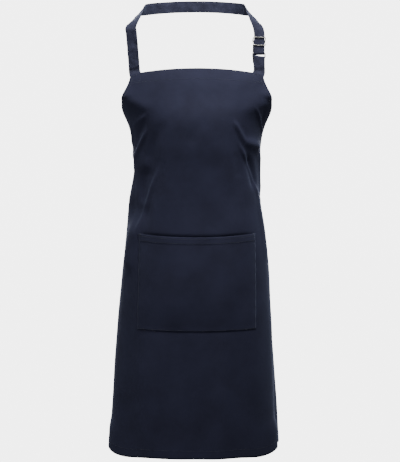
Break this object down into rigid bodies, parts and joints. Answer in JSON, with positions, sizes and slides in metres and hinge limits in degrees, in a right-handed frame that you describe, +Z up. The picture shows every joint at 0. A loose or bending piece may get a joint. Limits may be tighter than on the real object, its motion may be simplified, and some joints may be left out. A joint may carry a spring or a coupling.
{
  "type": "bib apron",
  "caption": "Bib apron of woven twill with a patch pocket, an adjustable neck strap with a wire slider and ring, and waist ties tied in a bow behind.",
  "frame": {"origin": "middle of the neck strap's inner face, where it rests on the back of the wearer's neck", "axes": "+Z up, -Y towards the front of the apron, +X to the right seen from the front (the wearer's left)"},
  "size_m": [0.3795, 0.2845, 1.0235],
  "materials": {
    "cloth": "matt twill",
    "strap": "matt twill, folded",
    "thread": "sewing thread",
    "label": "smooth satin tape, blank",
    "metal": "bright nickel plated wire"
  },
  "bodies": {
    "apron": {"front_panel": "cloth", "pocket": "cloth", "care_label": "label", "left_strap_end": "strap", "right_tab_end": "strap", "left_tie_end": "strap", "right_tie_end": "strap", "bow_knot": "strap", "left_bow_loop": "strap", "right_bow_loop": "strap", "bib_hem_thread": "thread", "bottom_hem_thread": "thread", "left_side_thread": "thread", "right_side_thread": "thread", "left_armhole_thread": "thread", "right_armhole_thread": "thread", "pocket_seam_thread": "thread", "pocket_hem_thread": "thread", "pocket_bartacks": "thread", "left_strap_box_thread": "thread", "right_strap_box_thread": "thread", "left_tie_box_thread": "thread", "right_tie_box_thread": "thread"},
    "neck_loop": {"neck_strap": "strap", "strap_return": "strap", "strap_tab": "strap"},
    "ring": {"strap_ring": "metal"},
    "slider": {"slider_frame": "metal", "slider_bar": "metal", "strap_end_loop": "strap", "strap_end_thread": "thread"},
    "tail_left": {"left_tie_tail": "strap"},
    "tail_right": {"right_tie_tail": "strap"}
  },
  "joints": [
    {"name": "neck_loop_fold", "type": "hinge", "parent": "apron", "child": "neck_loop", "pos_m": [0, -0.1529, -0.166], "axis": [1, 0, 0], "range_deg": [0, 110]},
    {"name": "ring_swing", "type": "hinge", "parent": "neck_loop", "child": "ring", "pos_m": [0.13701, -0.14496, -0.135], "axis": [0.9511, 0.309, 0], "range_deg": [-6, 6]},
    {"name": "slider_slide", "type": "slide", "parent": "neck_loop", "child": "slider", "axis": [0, 0, 1], "range_m": [-0.012, 0.004], "deforming": ["strap_return"]},
    {"name": "left_tail_swing", "type": "hinge", "parent": "apron", "child": "tail_left", "pos_m": [-0.0165, 0.029, -0.4035], "axis": [1, 0, 0], "range_deg": [0, 60]},
    {"name": "right_tail_swing", "type": "hinge", "parent": "apron", "child": "tail_right", "pos_m": [0.0165, 0.029, -0.4035], "axis": [1, 0, 0], "range_deg": [0, 60]}
  ]
}
